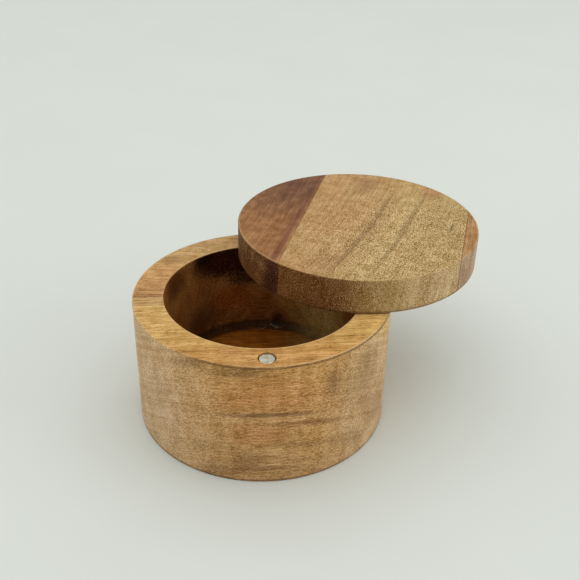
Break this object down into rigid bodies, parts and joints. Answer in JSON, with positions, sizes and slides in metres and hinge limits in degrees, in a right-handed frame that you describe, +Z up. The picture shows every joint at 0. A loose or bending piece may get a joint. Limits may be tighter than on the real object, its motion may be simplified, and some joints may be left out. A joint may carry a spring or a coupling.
{
  "type": "salt box",
  "caption": "Round turned wooden salt box with a thick disc lid that swings aside on an upright pin in the rim and is held shut by disc magnets.",
  "frame": {"origin": "centre of the box's underside, on its turned axis", "axes": "+Z up along the turned axis, +Y from the box's axis towards the pivot pin in the rear of the rim, +X to the right, the side that the lid is swung to"},
  "size_m": [0.1482, 0.1357, 0.07],
  "materials": {
    "front_board_wood": "oiled, golden brown with fine brown lines along the grain",
    "rear_board_wood": "oiled, tan brown with olive and brown streaks",
    "lid_dark_wood": "oiled, red-brown heartwood with a purple streak along the seam",
    "lid_pale_wood": "oiled, tan with open pores and darker bands along the grain",
    "lid_strip_wood": "oiled, orange-brown",
    "magnet_nickel": "dull nickel plate, lightly scuffed",
    "pin_steel": "ground steel",
    "sleeve_brass": "turned brass",
    "washer_nylon": "natural nylon"
  },
  "bodies": {
    "box": {"body_front_board": "front_board_wood", "body_rear_board": "rear_board_wood", "rim_magnet": "magnet_nickel", "pivot_pin": "pin_steel", "pivot_washer": "washer_nylon"},
    "lid": {"pivot_sleeve": "sleeve_brass", "lid_rear_board": "lid_dark_wood", "lid_middle_board": "lid_pale_wood", "lid_edge_strip": "lid_strip_wood", "lid_magnet": "magnet_nickel"}
  },
  "joints": [
    {"name": "lid_swivel", "type": "hinge", "parent": "box", "child": "lid", "pos_m": [0, 0.04625, 0.055], "axis": [0, 0, 1], "range_deg": [-71, 109]}
  ]
}
